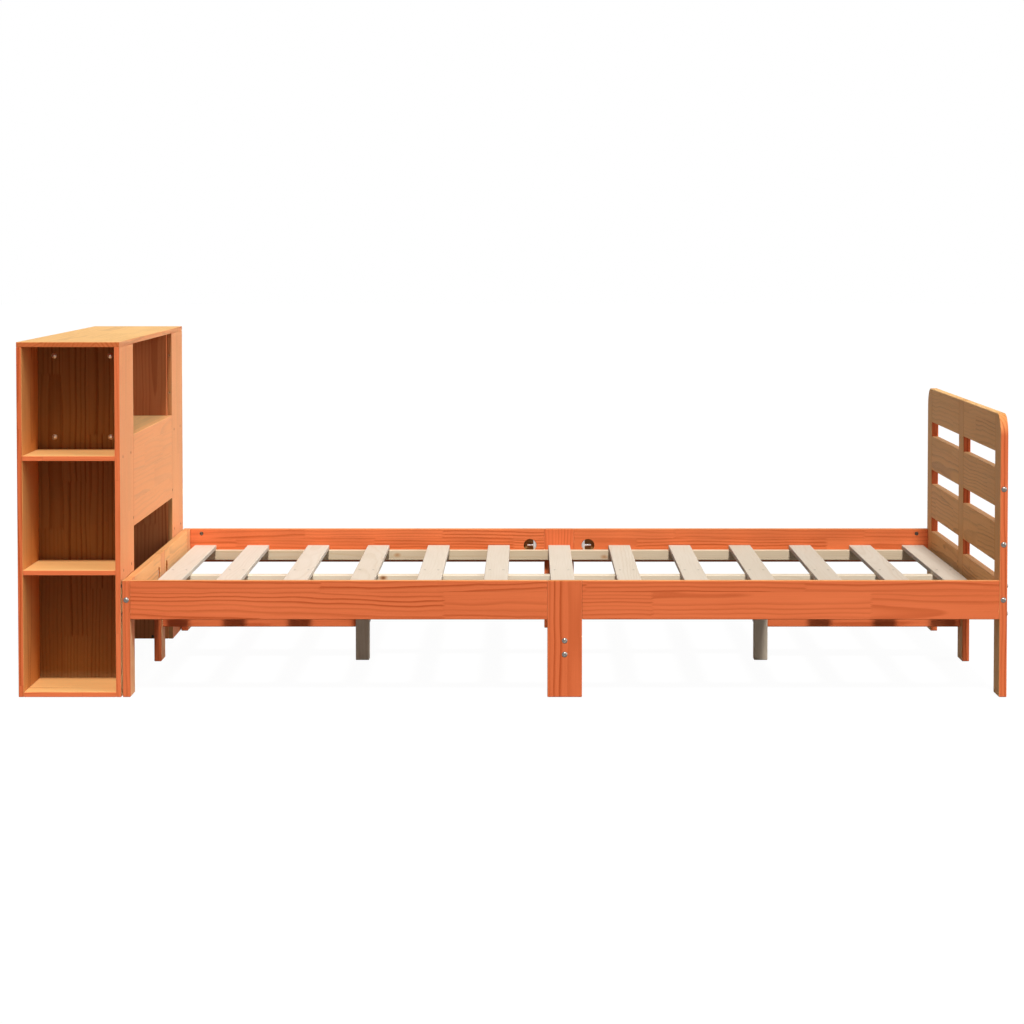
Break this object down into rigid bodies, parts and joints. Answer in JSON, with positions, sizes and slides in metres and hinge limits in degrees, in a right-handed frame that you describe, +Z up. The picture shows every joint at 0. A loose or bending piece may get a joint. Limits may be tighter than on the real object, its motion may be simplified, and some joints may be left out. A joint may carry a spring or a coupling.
{
  "type": "wooden bed",
  "caption": "Pine bed with a slatted base on plank legs, a slotted footboard with rounded shoulders and an open bookcase as its headboard.",
  "frame": {"origin": "on the floor, under the middle of the whole piece of furniture", "axes": "+X from the bookcase to the footboard, +Y across the bed to its right side, +Z up"},
  "size_m": [2.2832, 1.246, 0.82],
  "materials": {
    "stained_pine": "satin lacquer over stain",
    "bare_pine": "sanded, without lacquer",
    "zinc_steel": "bright zinc",
    "dowel_wood": "plain"
  },
  "bodies": {
    "root": {"left_head_leg": "stained_pine", "right_head_leg": "stained_pine", "centre_head_leg": "stained_pine", "left_head_rail": "stained_pine", "right_head_rail": "stained_pine", "left_rail_head_half": "stained_pine", "left_rail_foot_half": "stained_pine", "right_rail_head_half": "stained_pine", "right_rail_foot_half": "stained_pine", "left_mid_leg": "stained_pine", "right_mid_leg": "stained_pine", "cross_beam": "stained_pine", "head_stretcher": "stained_pine", "foot_stretcher": "stained_pine", "left_foot_stile": "stained_pine", "right_foot_stile": "stained_pine", "foot_divider": "stained_pine", "foot_board_1": "stained_pine", "foot_board_2": "stained_pine", "foot_board_3": "stained_pine", "foot_board_4": "stained_pine", "bookcase_top": "stained_pine", "mid_shelf": "stained_pine", "front_panel": "stained_pine", "left_tower_rear_wall": "stained_pine", "left_tower_bed_wall": "stained_pine", "left_tower_back": "stained_pine", "left_tower_bottom": "stained_pine", "left_tower_shelves": "stained_pine", "left_cubby_end": "stained_pine", "right_tower_rear_wall": "stained_pine", "right_tower_bed_wall": "stained_pine", "right_tower_back": "stained_pine", "right_tower_bottom": "stained_pine", "right_tower_shelves": "stained_pine", "right_cubby_end": "stained_pine", "left_batten": "bare_pine", "right_batten": "bare_pine", "centre_beam": "bare_pine", "head_post": "bare_pine", "foot_post": "bare_pine", "slat_01": "bare_pine", "slat_02": "bare_pine", "slat_03": "bare_pine", "slat_04": "bare_pine", "slat_05": "bare_pine", "slat_06": "bare_pine", "slat_07": "bare_pine", "slat_08": "bare_pine", "slat_09": "bare_pine", "slat_10": "bare_pine", "slat_11": "bare_pine", "slat_12": "bare_pine", "slat_13": "bare_pine", "frame_bolts": "zinc_steel", "barrel_nuts": "zinc_steel", "rail_studs": "zinc_steel", "half_moon_nuts": "zinc_steel", "case_connectors": "zinc_steel", "dowels": "dowel_wood"}
  },
  "joints": []
}
